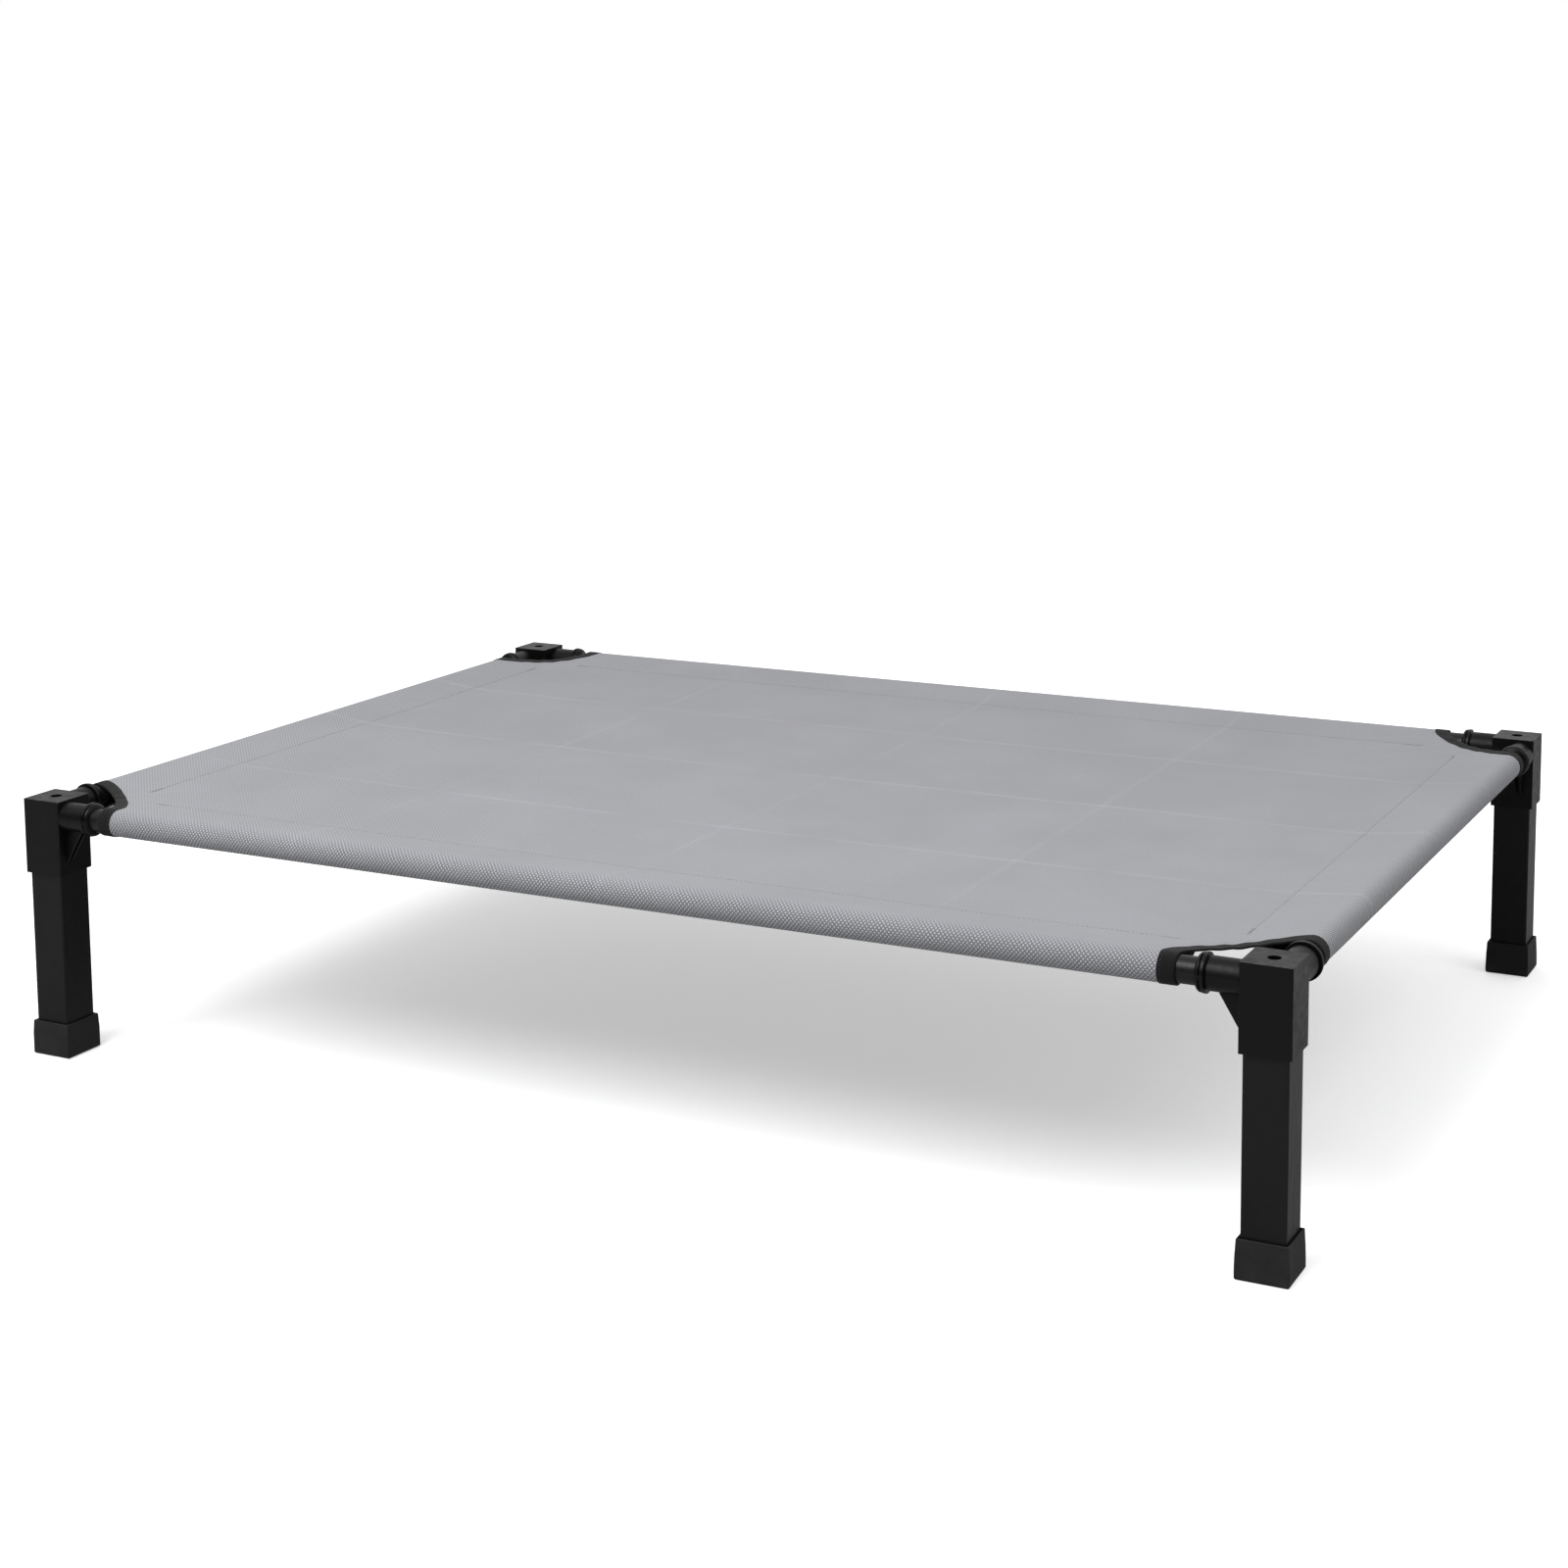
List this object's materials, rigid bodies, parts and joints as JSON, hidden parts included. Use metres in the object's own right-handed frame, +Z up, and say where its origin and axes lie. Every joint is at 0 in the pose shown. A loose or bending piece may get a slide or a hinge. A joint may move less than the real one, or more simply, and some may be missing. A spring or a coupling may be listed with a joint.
{
  "type": "elevated dog bed",
  "caption": "Raised dog bed: a taut woven cover on a rectangle of round tubes, with moulded corner connectors, square legs and rubber feet.",
  "frame": {"origin": "on the floor, under the middle of the bed", "axes": "+X along the length to the right, +Y towards the back, +Z up"},
  "size_m": [1.0706, 0.7626, 0.215],
  "materials": {
    "fabric": "grey basket-weave polyester, matt",
    "binding": "black ribbed binding tape",
    "tube": "black powder coat, satin",
    "connector": "black moulded plastic, fine grain",
    "collar": "black moulded plastic, smooth",
    "leg": "black powder coat, satin",
    "foot": "black rubber, matt"
  },
  "bodies": {
    "root": {"cover": "fabric", "corner_binding_fl": "binding", "corner_binding_fr": "binding", "corner_binding_bl": "binding", "corner_binding_br": "binding", "tube_front": "tube", "tube_back": "tube", "tube_left": "tube", "tube_right": "tube", "connector_fl": "connector", "connector_fr": "connector", "connector_bl": "connector", "connector_br": "connector", "collar_fl_long": "collar", "collar_fr_long": "collar", "collar_bl_long": "collar", "collar_br_long": "collar", "collar_fl_short": "collar", "collar_fr_short": "collar", "collar_bl_short": "collar", "collar_br_short": "collar", "leg_fl": "leg", "leg_fr": "leg", "leg_bl": "leg", "leg_br": "leg", "foot_fl": "foot", "foot_fr": "foot", "foot_bl": "foot", "foot_br": "foot"}
  },
  "joints": []
}
